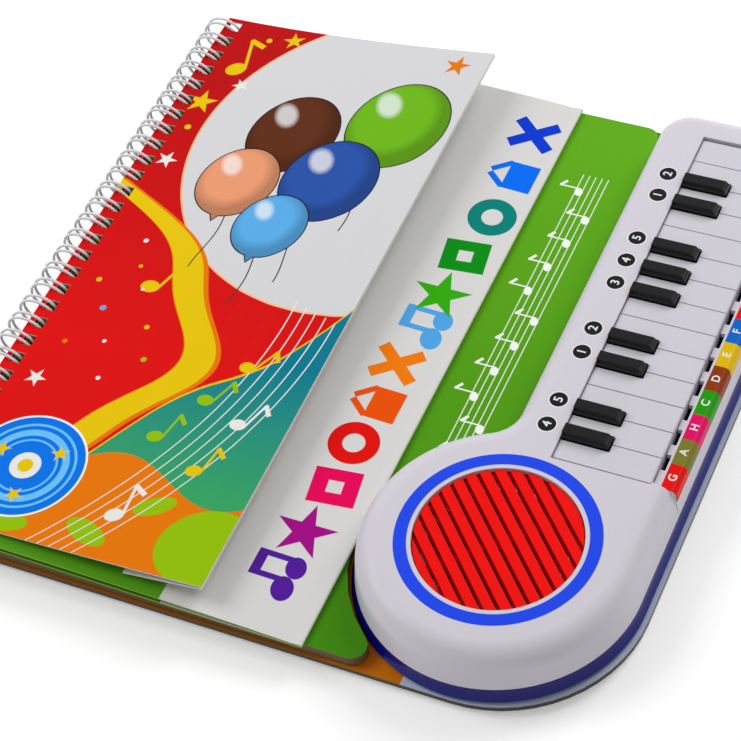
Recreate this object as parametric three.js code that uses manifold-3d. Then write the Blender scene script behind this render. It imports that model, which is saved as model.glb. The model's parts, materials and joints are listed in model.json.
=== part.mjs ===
// A wire-bound children's sound book. Board leaves turn on a twin-loop wire, and a small electronic
// keyboard with a round speaker end is screwed to the back board beside them.
// Millimetres, +Z up. The origin is the middle of the footprint, on the surface that the book lies on.
import * as THREE from "three";
import { mergeVertices } from "three/addons/utils/BufferGeometryUtils.js";
import Module from "manifold-3d";

const wasm = await Module();
wasm.setup();

// Driving sizes. X runs from the wire to the fore edge and Y along the keys, both from the rear corner
// of the key bed beside the speaker. Z is the height above the table.
const fit = 0.3; // running clearance between touching pieces

// Twin-loop wire
const loopPitch = 25.4 / 3;
const loopCount = 30;
const firstLoopY = 166;
const loopRadius = 7.9;
const wireDiameter = 1.1;
const wireSides = 4;
const twinSpacing = 2.6;
const loopSteps = 10;
const loopRootAngle = -100;
const loopTipAngle = -66;
const wireAxisX = -202.9;
const wireAxisZ = loopRadius + wireDiameter / 2;

// Leaves
const holeSize = 4.6;
const holeMargin = 2;
const boardLift = 2.1;
const boardThickness = 2;
const boardFoot = 2.2; // margins of the board about the keyboard unit
const boardHead = 2.3;
const boardSide = 2.9;
const boardRoundMargin = 0.7;
const boardCornerRadius = 14;
const leafCornerRadius = 3;
const leafSteps = 9;

const pageCount = 4;
const pageThickness = 0.9;
const pageGroove = 0.4;
const pageSpineSpread = 0.85; // share by which the leaves stand further apart at the wire
const pageSpineBend = 1.6;
const pageFootInset = 1; // from the board's edges
const pageHeadInset = 2.7;
const pageCaseGap = 2.6;
const pageCornerRadius = 5;

const cardThickness = 0.4;
const titleFootInset = -0.6;
const titleHeadInset = 2.4;
const titleLayerGap = 0.5;
const titleBulge = 1.5;
const titleBulgeBend = 0.7;
const titleCaseGap = 0.5;
const titleFoldRadius = 0.75;

const coverFootInset = 3.6;
const coverHeadInset = -2;
const coverRightX = -88;
const coverThickness = 0.5;
const coverSeat = 0.4; // height of the cover over the title leaf at the wire
const coverRise = 8.2;
const coverBow = 1.6;
const coverTwist = 5;
const flapWidth = 30;
const flapDrop = 2.6;

// Keyboard unit: outline and shells
const caseRadius = 47.3;
const speakerY = -36.1;
const caseLeftX = -18.4;
const caseHead = 14.9;
const caseCornerRadius = 13;
const neckRadius = 11;
const unitHeight = 20.3;
const seamHeight = 5.4;
const wall = 2;
const edgeRadius = 8;
const sideDraft = 0.9;
const sillEdgeRadius = 1.6;
const footRadius = 1;
const trayFlare = 1.6;

// Keys
const keyPitch = 10.8;
const whiteKeys = 14;
const whiteLength = 34;
const ledgeDepth = 8.7;
const keyDrop = 0.9;
const ledgeDrop = 2.6;
const keyGap = 0.4;
const keyDepth = 5.7;
const keyPlate = 1.8;
const keyWall = 1.2;
const hingeBack = 9;
const hingeRadius = 1.5;
const hingeDrop = 4.8;
const stemHeight = 2.6;
const stemWidth = 4.4;
const blackPlaces = [1, 2, 4, 5, 7, 8, 9, 11, 12];
const blackLength = 16.7;
const blackWidth = 5.6;
const blackTopWidth = 3.6;
const blackHeight = 3;
const blackShoulder = 1;
const blackNose = 1.8;
const plungerX = 14;
const plungerSize = 3;
const slotLength = 6.6;
const slotWidth = 1.7;
const bedEndGap = 0.9;

// Labels on the front ledge
const labelThickness = 0.25;
const labelGap = 0.1;
const labelInset = 2.6;
const labelSkirt = 4.2;

// Speaker
const grilleRadius = 27.4;
const grilleRim = 1.5;
const grilleFlange = 2;
const grilleFlangeThickness = 1.2;
const grilleDrop = 0.6;
const grilleDepth = 3.2;
const slatPitch = 4.65;
const slatShift = -0.7;
const slatMargin = 1;
const slatAngle = -46;
const grooveWidth = 1.4;
const grooveDepth = 1.7;
const grooveFlank = 0.25;
const slatSlot = 0.5;
const slotBridge = 3;
const speakerRadius = 26;
const collarWall = 1.5;
const ribReach = 1.6;
const speakerFlange = 1.2;
const coneRadius = 22;
const coneDepth = 5.5;
const coneThickness = 0.5;
const coneEdge = 0.2;
const coneSurround = 1;
const coneCapHeight = 2;
const basketThickness = 0.9;
const basketStep = 0.5;
const grilleSeatGap = 0.8;
const magnetRadius = 12;
const magnetHeight = 4;

// Inside
const boardWidth = 26;
const circuitThickness = 1.4;
const circuitLift = 6.2;
const stripThickness = 1;
const domeHeight = 1.3;
const domeRadius = 2.4;
const postRadius = 2.6;
const cellDiameter = 11.6;
const cellHeight = 5.4;
const cellCount = 3;
const cellGap = 1;
const cellX = 8;
const cellY = 60;
const contactThickness = 0.4;
const contactGap = 0.4;
const doorMargin = 3;
const doorThickness = 1.4;
const screwRadius = 1.1;
const screwHeadRadius = 2.6;
const screwHeadHeight = 1.3;
const screwLength = 9;
const screwInset = 9;
const doorScrewLength = 4;
const doorScrewHead = 1;

// Heights and places that follow
const boardTopZ = boardLift + boardThickness;
const boardHoleZ = boardLift + 0.2 * boardThickness; // the wire slants back most at the underside
const caseBottomZ = boardTopZ + fit;
const floorTopZ = caseBottomZ + wall;
const seamZ = caseBottomZ + seamHeight;
const shellTopZ = boardTopZ + unitHeight;
const shellUnderZ = shellTopZ - wall;
const ledgeZ = shellTopZ - ledgeDrop;
const whiteTopZ = shellTopZ - keyDrop;
const keyBottomZ = whiteTopZ - keyDepth;
const hingeZ = shellTopZ - hingeDrop;
const bedLength = whiteKeys * keyPitch;
const bedFrontX = whiteLength + keyGap;
const caseTopY = bedLength + caseHead;
const caseRightX = bedFrontX + ledgeDepth;
const speakerX = caseRightX - caseRadius;
const boardBottomY = speakerY - caseRadius - boardFoot;
const boardTopY = caseTopY + boardHead;
const boardRightX = caseRightX + boardSide;
const boardRoundRadius = caseRadius + boardRoundMargin;
const pageBottomY = boardBottomY + pageFootInset;
const pageTopY = boardTopY - pageHeadInset;
const titleBottomY = boardBottomY + titleFootInset;
const titleTopY = boardTopY - titleHeadInset;
const coverBottomY = boardBottomY + coverFootInset;
const coverTopY = boardTopY - coverHeadInset;
const pageBottomZ = boardTopZ + fit;
const pageStackHeight = pageCount * pageThickness + (pageCount - 1) * 0.13;
const circuitZ = floorTopZ + circuitLift;
const stripZ = circuitZ + circuitThickness + fit;
const titleRightX = speakerX - caseRadius - titleCaseGap;
const pageRightX = caseLeftX - pageCaseGap;

const palette = {
  shell: ["#cbc9d6", 0.42, 0],
  case_blue: ["#16147e", 0.22, 0],
  grille_red: ["#f01812", 0.4, 0],
  white_key: ["#cdcbd8", 0.35, 0],
  black_key: ["#0c0c10", 0.3, 0],
  card: ["#d2d2d0", 0.5, 0],
  cover: ["#d21416", 0.35, 0],
  pages: ["#50961e", 0.45, 0],
  board: ["#8fa6c4", 0.5, 0],
  label: ["#e0b414", 0.4, 0],
  wire: ["#dcdce0", 0.3, 0.4],
  steel: ["#b4b6ba", 0.3, 1],
  cone: ["#1c1c1e", 0.8, 0],
  circuit: ["#1f6b3a", 0.5, 0],
  rubber: ["#4a4a4e", 0.8, 0],
};

// Solids

function solidOf(geometry) {
  const bare = geometry.clone();
  for (const name of ["normal", "uv"]) bare.deleteAttribute(name);
  const merged = mergeVertices(bare, 1e-4);
  return new wasm.Manifold(
    new wasm.Mesh({
      numProp: 3,
      vertProperties: merged.attributes.position.array,
      triVerts: new Uint32Array(merged.index.array),
    }),
  );
}

function geometryOf(solid) {
  const mesh = solid.getMesh();
  const geometry = new THREE.BufferGeometry();
  geometry.setAttribute("position", new THREE.BufferAttribute(mesh.vertProperties, 3));
  geometry.setIndex(new THREE.BufferAttribute(mesh.triVerts, 1));
  return geometry;
}

const unite = (solids) => solids.reduce((sum, solid) => sum.add(solid));
const carve = (solid, cutters) => cutters.reduce((left, cutter) => left.subtract(cutter), solid);

function box(x0, x1, y0, y1, z0, z1) {
  const geometry = new THREE.BoxGeometry(x1 - x0, y1 - y0, z1 - z0);
  geometry.translate((x0 + x1) / 2, (y0 + y1) / 2, (z0 + z1) / 2);
  return solidOf(geometry);
}

// An upright cylinder.
function post(x, y, z0, z1, radius, sides = 12) {
  const geometry = new THREE.CylinderGeometry(radius, radius, z1 - z0, sides);
  geometry.rotateX(Math.PI / 2);
  geometry.translate(x, y, (z0 + z1) / 2);
  return solidOf(geometry);
}

// A cylinder along Y.
function rod(x, z, y0, y1, radius, sides = 8) {
  const geometry = new THREE.CylinderGeometry(radius, radius, y1 - y0, sides);
  geometry.translate(x, (y0 + y1) / 2, z);
  return solidOf(geometry);
}

// A profile of [radius, height] points, turned about an upright axis.
function turned(points, x, y, sides) {
  const geometry = new THREE.LatheGeometry(
    points.map(([r, z]) => new THREE.Vector2(r, z)),
    sides,
  );
  geometry.rotateX(Math.PI / 2);
  geometry.translate(x, y, 0);
  return solidOf(geometry);
}

// A plan outline raised from z0 to z1.
function prism(points, z0, z1) {
  const shape = new THREE.Shape(points.map(([x, y]) => new THREE.Vector2(x, y)));
  const geometry = new THREE.ExtrudeGeometry(shape, { depth: z1 - z0, bevelEnabled: false });
  geometry.translate(0, 0, z0);
  return solidOf(geometry);
}

// A section of [x, z] points carried along Y.
function section(points, y0, y1) {
  const shape = new THREE.Shape(points.map(([x, z]) => new THREE.Vector2(x, z)));
  const geometry = new THREE.ExtrudeGeometry(shape, { depth: y1 - y0, bevelEnabled: false });
  geometry.rotateX(Math.PI / 2);
  geometry.translate(0, y1, 0);
  return solidOf(geometry);
}

// Skins a stack of outlines that have as many points each: [{ points, z }, ...] from the bottom up.
function loft(levels) {
  const count = levels[0].points.length;
  const position = levels.flatMap(({ points, z }) => points.flatMap(([x, y]) => [x, y, z]));
  const index = [];
  for (let level = 0; level < levels.length - 1; level++)
    for (let i = 0; i < count; i++) {
      const a = level * count + i;
      const b = level * count + ((i + 1) % count);
      index.push(a, b, b + count, a, b + count, a + count);
    }
  const cap = (level, up) => {
    const flat = levels[level].points.map(([x, y]) => new THREE.Vector2(x, y));
    for (const [a, b, c] of THREE.ShapeUtils.triangulateShape(flat, [])) {
      const corners = up ? [a, b, c] : [c, b, a];
      index.push(...corners.map((corner) => level * count + corner));
    }
  };
  cap(0, false);
  cap(levels.length - 1, true);
  const geometry = new THREE.BufferGeometry();
  geometry.setAttribute("position", new THREE.Float32BufferAttribute(position, 3));
  geometry.setIndex(index);
  return solidOf(geometry);
}

function warped(solid, move) {
  const geometry = geometryOf(solid);
  const place = geometry.attributes.position;
  for (let i = 0; i < place.count; i++)
    place.setXYZ(i, ...move(place.getX(i), place.getY(i), place.getZ(i)));
  return solidOf(geometry);
}

// Outlines

const radians = THREE.MathUtils.degToRad;

function arc(x, y, radius, from, to, steps) {
  return Array.from({ length: steps + 1 }, (_, i) => {
    const angle = radians(from + ((to - from) * i) / steps);
    return [x + radius * Math.cos(angle), y + radius * Math.sin(angle)];
  });
}

// The neck's fillet touches the round speaker end and the straight left side.
const neckX = caseLeftX - neckRadius;
const neckY = speakerY + Math.sqrt((caseRadius + neckRadius) ** 2 - (neckX - speakerX) ** 2);
const neckAngle = THREE.MathUtils.radToDeg(Math.atan2(neckY - speakerY, neckX - speakerX));

function caseOutline(inset) {
  const radius = caseCornerRadius - inset;
  const low = caseTopY - caseCornerRadius;
  return [
    ...arc(caseRightX - caseCornerRadius, low, radius, 0, 90, 5),
    ...arc(caseLeftX + caseCornerRadius, low, radius, 90, 180, 5),
    ...arc(neckX, neckY, neckRadius + inset, 0, neckAngle - 180, 4),
    ...arc(speakerX, speakerY, caseRadius - inset, neckAngle, 360, 30).slice(1),
  ];
}

const pageArc = caseRadius + pageCaseGap;

// The leaves clear the keyboard unit by one gap all along.
function pageOutline(inset) {
  const spine = leafSpineX(pageBottomZ + pageStackHeight / 2);
  const neckFillet = neckRadius - pageCaseGap;
  const corner = pageCornerRadius;
  // The lower right corner rounds off between the bottom edge and the arc about the speaker.
  const cornerY = pageBottomY + corner;
  const cornerX = speakerX - Math.sqrt((pageArc + corner) ** 2 - (cornerY - speakerY) ** 2);
  const cornerAngle = THREE.MathUtils.radToDeg(Math.atan2(cornerY - speakerY, cornerX - speakerX));
  return [
    ...arc(spine + leafCornerRadius, pageBottomY + leafCornerRadius, leafCornerRadius - inset, 180, 270, 3),
    ...arc(cornerX, cornerY, corner - inset, -90, cornerAngle + 180, 5),
    ...arc(speakerX, speakerY, pageArc + inset, cornerAngle + 360, neckAngle, 11).slice(1),
    ...arc(neckX, neckY, neckFillet - inset, neckAngle - 180, 0, 4).slice(1),
    ...arc(pageRightX - corner, pageTopY - corner, corner - inset, 0, 90, 4),
    ...arc(spine + leafCornerRadius, pageTopY - leafCornerRadius, leafCornerRadius - inset, 90, 180, 3),
  ];
}

// Where the loops pass a given height, and the spine edge of a leaf that hangs there.
function loopX(z) {
  return wireAxisX + Math.sqrt(loopRadius ** 2 - (z - wireAxisZ) ** 2);
}

function leafSpineX(z) {
  return loopX(z) - holeSize / 2 - holeMargin;
}

const loopY = (loop) => firstLoopY - loop * loopPitch;

function bindingHoles(z, z0, z1) {
  const x = loopX(z);
  const half = holeSize / 2;
  return Array.from({ length: loopCount }, (_, loop) =>
    box(x - half, x + half, loopY(loop) - half, loopY(loop) + half, z0, z1),
  );
}

// Leaves and wire

function makeBoard() {
  const spine = leafSpineX(boardHoleZ);
  const small = leafCornerRadius;
  const big = boardCornerRadius;
  const round = boardRoundRadius;
  const outline = [
    ...arc(spine + small, boardBottomY + small, small, 180, 270, 3),
    ...arc(boardRightX - round, boardBottomY + round, round, 270, 360, 14),
    ...arc(boardRightX - big, boardTopY - big, big, 0, 90, 5),
    ...arc(spine + small, boardTopY - small, small, 90, 180, 3),
  ];
  const door = doorFrame(fit);
  return carve(prism(outline, boardLift, boardTopZ), [
    ...bindingHoles(boardHoleZ, 0, boardTopZ + fit),
    box(door.x0, door.x1, door.y0, door.y1, 0, boardTopZ + fit),
    ...screwPlaces.map(([x, y]) => post(x, y, 0, boardTopZ + fit, screwRadius + fit, 12)),
    ...screwPlaces.map(([x, y]) =>
      post(x, y, 0, boardLift + screwHeadHeight + fit, screwHeadRadius + fit, 16),
    ),
  ]);
}

// The pages stand a little further apart at the wire than at the fore edge.
function pageSpread(x) {
  const spine = leafSpineX(pageBottomZ + pageStackHeight / 2);
  const share = Math.max(0, (pageRightX - x) / (pageRightX - spine));
  return 1 + pageSpineSpread * share ** pageSpineBend;
}

const pageTopZ = (x) => pageBottomZ + pageStackHeight * pageSpread(x);

function makePages() {
  const step = (pageStackHeight - pageThickness) / (pageCount - 1);
  const from = leafSpineX(pageBottomZ + pageStackHeight / 2) - fit;
  const run = pageRightX + fit - from;
  const places = Array.from({ length: leafSteps + 1 }, (_, i) => from + (run * i) / leafSteps);
  const layer = (outline, z0, z1) => {
    const along = (height) => places.map((x) => [x, pageBottomZ + height * pageSpread(x)]);
    const bent = section([...along(z0), ...along(z1).reverse()], pageBottomY - fit, pageTopY + fit);
    return bent.intersect(prism(outline, 0, shellTopZ));
  };
  const pages = Array.from({ length: pageCount }, (_, page) =>
    layer(pageOutline(0), page * step, page * step + pageThickness),
  );
  const core = layer(pageOutline(pageGroove), pageThickness / 2, pageStackHeight - pageThickness / 2);
  return carve(unite([core, ...pages]), bindingHoles(pageBottomZ + pageStackHeight * 0.7, 0, shellTopZ));
}

// A folded sheet: two card layers that meet in a round fold at the fore edge. The upper layer
// bulges, because the fold isn't creased sharply.
function makeTitleLeaf() {
  const spine = leafSpineX(pageTopZ(wireAxisX) + cardThickness);
  const foldX = titleRightX - titleFoldRadius;
  const flatX = foldX - 4 * titleFoldRadius;
  const under = (x) => pageTopZ(x) + fit;
  const swell = (x) => Math.max(0, Math.sin((Math.PI * (flatX - x)) / (flatX - spine)));
  const gap = (x) => titleLayerGap + titleBulge * swell(x) ** titleBulgeBend;
  const bead = (radius, from, to) => arc(foldX, under(foldX) + titleFoldRadius, radius, from, to, 6);
  const places = Array.from({ length: leafSteps + 1 }, (_, i) => spine + ((flatX - spine) * i) / leafSteps);
  const along = (height) => places.map((x) => [x, height(x)]);
  const outline = [
    ...along(under),
    ...bead(titleFoldRadius, -90, 90),
    ...along((x) => under(x) + gap(x) + 2 * cardThickness).reverse(),
    ...along((x) => under(x) + gap(x) + cardThickness),
    ...bead(titleFoldRadius - cardThickness, 90, -90),
    ...along((x) => under(x) + cardThickness).reverse(),
  ];
  const sheet = section(outline, titleBottomY, titleTopY);
  return carve(sheet, bindingHoles(under(spine) + cardThickness, 0, shellTopZ));
}

// The cover bows up from the wire, is lifted more at the top, and its turned-in flap hangs below it.
function makeCover() {
  const seat = pageTopZ(wireAxisX) + fit + titleLayerGap + 2 * cardThickness + coverSeat;
  const spine = leafSpineX(seat);
  const share = (x) => Math.max(0, (x - spine) / (coverRightX - spine));
  const lower = (x) => seat + coverRise * share(x) ** coverBow;
  const across = (from, to, count, height) =>
    Array.from({ length: count + 1 }, (_, i) => {
      const x = from + ((to - from) * i) / count;
      return [x, height(x)];
    });
  const flapX = coverRightX - flapWidth;
  const hang = (x) => (flapDrop * (coverRightX - x)) / flapWidth + coverThickness * 1.2;
  const flap = (x) => lower(x) - hang(x);
  const outline = [
    ...across(flapX, coverRightX, 3, (x) => flap(x) - coverThickness),
    ...across(coverRightX, spine, leafSteps, (x) => lower(x) + coverThickness),
    ...across(spine, coverRightX - coverThickness, leafSteps, lower),
    ...across(coverRightX - coverThickness, flapX, 3, flap),
  ];
  const middleY = (coverBottomY + coverTopY) / 2;
  const length = coverTopY - coverBottomY;
  const twisted = warped(section(outline, coverBottomY, coverTopY), (x, y, z) => [
    x,
    y,
    z + ((coverTwist * (y - middleY)) / length) * share(x) ** 2,
  ]);
  return carve(twisted, bindingHoles(seat, 0, 2 * shellTopZ));
}

// One wire, bent to hairpins that go round through the holes and come back to the bars.
class WirePath extends THREE.Curve {
  constructor(points) {
    super();
    this.points = points;
  }
  getPoint(t, target = new THREE.Vector3()) {
    const last = this.points.length - 1;
    const at = Math.min(last - 1, Math.floor(t * last));
    return target.copy(this.points[at]).lerp(this.points[at + 1], t * last - at);
  }
  getPointAt(u, target) {
    return this.getPoint(u, target);
  }
  getUtoTmapping(u) {
    return u;
  }
}

function makeWire() {
  const at = (degrees, y) =>
    new THREE.Vector3(
      wireAxisX + loopRadius * Math.cos(radians(degrees)),
      y,
      wireAxisZ + loopRadius * Math.sin(radians(degrees)),
    );
  const half = twinSpacing / 2;
  const sweep = (y, from, to) =>
    Array.from({ length: loopSteps + 1 }, (_, i) => at(from + ((to - from) * i) / loopSteps, y));
  const root = loopRootAngle + 360;
  const points = [];
  for (let loop = 0; loop < loopCount; loop++) {
    const y = loopY(loop);
    points.push(...sweep(y + half, root, loopTipAngle));
    points.push(...sweep(y - half, loopTipAngle, root));
  }
  const section2d = new THREE.Shape(
    arc(0, 0, wireDiameter / 2, 0, 360, wireSides)
      .slice(1)
      .map(([x, y]) => new THREE.Vector2(x, y)),
  );
  const geometry = new THREE.ExtrudeGeometry(section2d, {
    steps: points.length - 1,
    extrudePath: new WirePath(points),
  });
  return solidOf(geometry);
}

// Keyboard unit

const screwPlaces = [
  [caseLeftX + screwInset, caseTopY - screwInset],
  [caseRightX - screwInset, caseTopY - screwInset],
  [speakerX - caseRadius + screwInset, speakerY],
  [caseRightX - screwInset, speakerY],
];

const circuitX = -hingeBack + hingeRadius + wall;

// The door lies across the cells, with its screw at the end away from the speaker.
const cellRun = cellCount * cellDiameter + (cellCount - 1) * cellGap;

function doorFrame(margin) {
  return {
    x0: cellX - cellDiameter / 2 - margin,
    x1: cellX + cellDiameter / 2 + margin,
    y0: cellY - doorMargin - margin,
    y1: cellY + cellRun + doorMargin + 2 * screwHeadRadius + margin,
  };
}

const doorScrewY = cellY + cellRun + doorMargin + screwHeadRadius - fit;

function makeLowerCase() {
  const outer = loft([
    { points: caseOutline(footRadius - trayFlare), z: caseBottomZ },
    { points: caseOutline(footRadius * 0.3 - trayFlare), z: caseBottomZ + footRadius * 0.3 },
    { points: caseOutline(-trayFlare), z: caseBottomZ + footRadius },
    { points: caseOutline(-trayFlare / 4), z: (caseBottomZ + seamZ) / 2 },
    { points: caseOutline(0), z: seamZ - fit },
  ]);
  const inner = prism(caseOutline(wall), floorTopZ, seamZ + wall);
  const door = doorFrame(0);
  const rail = box(
    -hingeBack - wall / 2,
    -hingeBack + wall / 2,
    0,
    bedLength,
    floorTopZ - wall / 2,
    hingeZ - hingeRadius - fit,
  );
  const holders = circuitPosts.map(([x, y]) =>
    post(x, y, floorTopZ - wall / 2, circuitZ - fit, postRadius, 10),
  );
  const bayTopZ = circuitZ - fit;
  const bay = carve(
    box(door.x0 - wall, door.x1 + wall, door.y0 - wall, door.y1 + wall, floorTopZ - wall / 2, bayTopZ),
    [box(door.x0, door.x1, door.y0, door.y1, 0, shellTopZ)],
  );
  const boss = carve(
    post(cellX, doorScrewY, floorTopZ + fit, bayTopZ, postRadius, 12).add(
      box(cellX - wall / 2, cellX + wall / 2, doorScrewY, door.y1 + wall / 2, floorTopZ + fit, bayTopZ),
    ),
    [post(cellX, doorScrewY, 0, floorTopZ + doorScrewLength + fit, screwRadius + fit, 12)],
  );
  const tray = carve(outer, [
    inner,
    box(door.x0, door.x1, door.y0, door.y1, 0, floorTopZ + fit),
    ...screwPlaces.map(([x, y]) => post(x, y, 0, floorTopZ + fit, screwRadius + fit, 12)),
  ]);
  return unite([tray, rail, bay, boss, ...holders]);
}

const circuitPosts = [0.06, 0.94].flatMap((share) =>
  [circuitX + postRadius + 1, circuitX + boardWidth - postRadius - 1].map((x) => [x, share * bedLength]),
);

// The shell's side: straight above the seam with a little draft, then a round top edge.
function shellLevels(inset, round, top, turns) {
  const straightTop = top - round;
  const levels = [{ points: caseOutline(inset), z: seamZ }];
  for (let i = 0; i <= turns; i++) {
    const angle = (Math.PI / 2) * (i / turns);
    const out = inset + sideDraft + round * (1 - Math.cos(angle));
    levels.push({ points: caseOutline(out), z: straightTop + round * Math.sin(angle) });
  }
  return levels;
}

function makeUpperCase() {
  const body = loft(shellLevels(0, edgeRadius, shellTopZ, 5));
  const sill = loft(shellLevels(0, sillEdgeRadius, ledgeZ, 3)).intersect(
    box(bedFrontX - wall, caseRightX + wall, 0, bedLength, seamZ, shellTopZ),
  );
  const outer = carve(body, [box(0, caseRightX + wall, 0, bedLength, ledgeZ, shellTopZ + wall)]).add(sill);
  const hollow = loft(shellLevels(wall, edgeRadius - wall, shellUnderZ, 2));
  const inner = carve(hollow, [
    box(bedFrontX, caseRightX + wall, -wall, bedLength + wall, ledgeZ - wall, shellTopZ + wall),
  ]);
  const below = prism(caseOutline(wall), seamZ - wall, seamZ + fit);
  const slots = Array.from({ length: whiteKeys - 1 }, (_, i) => {
    const y = (i + 1) * keyPitch;
    const half = slotLength / 2;
    return box(bedFrontX - wall, bedFrontX + slotWidth, y - half, y + half, seamZ, shellTopZ);
  });
  const shell = carve(outer, [
    inner,
    below,
    box(0, bedFrontX, -bedEndGap, bedLength + bedEndGap, seamZ, shellTopZ + wall),
    post(speakerX, speakerY, seamZ, shellTopZ + wall, grilleRadius + fit, 40),
    ...slots,
  ]);
  const seatRadius = speakerRadius + fit;
  const seatZ = speakerTopZ - 2 * speakerFlange;
  const grilleSeat = turned(
    [
      [seatRadius, seatZ],
      [seatRadius + collarWall, seatZ],
      [seatRadius + collarWall, grilleUnderZ - fit],
      [seatRadius, grilleUnderZ - fit],
      [seatRadius, seatZ],
    ],
    speakerX,
    speakerY,
    24,
  );
  const collarRadius = grilleRadius + grilleFlange + fit;
  const collar = turned(
    [
      [collarRadius, grilleFlangeZ - wall],
      [collarRadius + collarWall, grilleFlangeZ - wall],
      [collarRadius + collarWall, shellTopZ - wall / 2],
      [collarRadius, shellTopZ - wall / 2],
      [collarRadius, grilleFlangeZ - wall],
    ],
    speakerX,
    speakerY,
    24,
  );
  const ribs = [0, 90, 180, 270].map((degrees) => {
    const from = seatRadius + wall / 4;
    const to = collarRadius + collarWall + ribReach;
    const geometry = new THREE.BoxGeometry(to - from, collarWall, grilleUnderZ - fit - seatZ);
    geometry.translate((from + to) / 2, 0, (grilleUnderZ - fit + seatZ) / 2);
    geometry.rotateZ(radians(degrees + 45));
    geometry.translate(speakerX, speakerY, 0);
    return solidOf(geometry);
  });
  const pressRib = box(
    -hingeBack - wall / 2,
    -hingeBack + wall / 2,
    0,
    bedLength,
    hingeZ + hingeRadius + fit,
    shellTopZ - wall / 2,
  );
  const bosses = screwPlaces.map(([x, y]) =>
    post(x, y, floorTopZ + fit, shellTopZ - wall / 2, postRadius, 12),
  );
  const bores = screwPlaces.map(([x, y]) =>
    post(x, y, 0, boardLift + screwHeadHeight + screwLength + fit, screwRadius + fit, 12),
  );
  return carve(unite([shell, grilleSeat, collar, ...ribs, pressRib, ...bosses]), bores);
}

// Slanted bars over the speaker: a disc with grooves, and a sound slot in the floor of each groove.
const grilleFlangeZ = shellUnderZ - fit;
const grilleUnderZ = grilleFlangeZ - grilleFlangeThickness;
const speakerTopZ = grilleUnderZ - grilleSeatGap - fit;

function makeGrille() {
  const top = shellTopZ - grilleDrop;
  const under = top - grilleDepth;
  const disc = turned(
    [
      [0, under],
      [grilleRadius, under],
      [grilleRadius, grilleUnderZ],
      [grilleRadius + grilleFlange, grilleUnderZ],
      [grilleRadius + grilleFlange, grilleFlangeZ],
      [grilleRadius, grilleFlangeZ],
      [grilleRadius, top],
      [0, top],
    ],
    0,
    0,
    40,
  );
  const cuts = [];
  const open = grilleRadius - grilleRim;
  const slatsPerSide = Math.floor((open - Math.abs(slatShift) - slatSlot / 2 - slatMargin) / slatPitch);
  for (let i = -slatsPerSide; i <= slatsPerSide; i++) {
    const x = i * slatPitch + slatShift;
    const groove = [
      [x - grooveWidth / 2 + grooveFlank, top - grooveDepth],
      [x + grooveWidth / 2 - grooveFlank, top - grooveDepth],
      [x + grooveWidth / 2, top + fit],
      [x - grooveWidth / 2, top + fit],
    ];
    const reach = Math.sqrt(open ** 2 - (Math.abs(x) + slatSlot / 2) ** 2);
    cuts.push(section(groove, -grilleRadius - fit, grilleRadius + fit));
    cuts.push(box(x - slatSlot / 2, x + slatSlot / 2, slotBridge / 2, reach, 0, top));
    cuts.push(box(x - slatSlot / 2, x + slatSlot / 2, -reach, -slotBridge / 2, 0, top));
  }
  const geometry = geometryOf(carve(disc, cuts));
  geometry.rotateZ(radians(slatAngle + 90));
  geometry.translate(speakerX, speakerY, 0);
  return solidOf(geometry);
}

const magnetBottomZ = floorTopZ + fit;
const basketZ = magnetBottomZ + magnetHeight + fit;

function makeSpeakerFrame() {
  const t = basketThickness;
  const low = basketZ;
  const edge = speakerTopZ - speakerFlange;
  return turned(
    [
      [magnetRadius / 2, low],
      [magnetRadius, low],
      [coneRadius + coneSurround, edge - basketStep],
      [speakerRadius, edge - basketStep],
      [speakerRadius, speakerTopZ],
      [coneRadius + fit + coneSurround, speakerTopZ],
      [coneRadius + fit, edge + t],
      [magnetRadius - t, low + t],
      [magnetRadius / 2, low + t],
      [magnetRadius / 2, low],
    ],
    speakerX,
    speakerY,
    24,
  );
}

function makeCone() {
  const top = speakerTopZ - speakerFlange + basketThickness + fit;
  const t = coneThickness;
  const low = top - coneDepth + t;
  return turned(
    [
      [0, low],
      [coneRadius * 0.3, low - coneEdge],
      [coneRadius * 0.85, top - coneSurround],
      [coneRadius - coneSurround, top - coneSurround / 2],
      [coneRadius - coneEdge, top],
      [coneRadius - coneEdge, top + t],
      [coneRadius * 0.85, top - coneSurround + t],
      [coneRadius * 0.32, low + t],
      [coneRadius * 0.2, low + coneCapHeight * 0.8],
      [0, low + coneCapHeight],
    ],
    speakerX,
    speakerY,
    24,
  );
}

function makeMagnet() {
  return turned(
    [
      [0, magnetBottomZ],
      [magnetRadius - 0.6, magnetBottomZ],
      [magnetRadius, magnetBottomZ + 0.6],
      [magnetRadius, magnetBottomZ + magnetHeight],
      [0, magnetBottomZ + magnetHeight],
    ],
    speakerX,
    speakerY,
    24,
  );
}

// Labels: a printed strip that lies on the ledge and turns down over its edge.
function makeLabels() {
  const skirtZ = ledgeZ - labelSkirt;
  const flare = (sideDraft * (ledgeZ - sillEdgeRadius - skirtZ)) / (ledgeZ - sillEdgeRadius - seamZ);
  const line = (offset) => {
    const r = sillEdgeRadius + offset;
    const centreX = caseRightX - sideDraft - sillEdgeRadius;
    const centreZ = ledgeZ - sillEdgeRadius;
    return [
      [bedFrontX + labelInset, ledgeZ + offset],
      ...arc(centreX, centreZ, r, 90, 0, 4),
      [centreX + r + flare, skirtZ],
    ];
  };
  const outline = [...line(labelGap), ...line(labelGap + labelThickness).reverse()];
  return section(outline, fit, bedLength - fit);
}

// Keys

const blackHalf = blackWidth / 2 + keyGap;
const hasBlack = (place) => blackPlaces.includes(place);

function keyStem(y) {
  const half = stemWidth / 2;
  const arm = box(
    -hingeBack,
    3 * keyGap,
    y - half,
    y + half,
    hingeZ - stemHeight / 2,
    hingeZ + stemHeight / 2,
  );
  return arm.add(rod(-hingeBack, hingeZ, y - half, y + half, hingeRadius));
}

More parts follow.
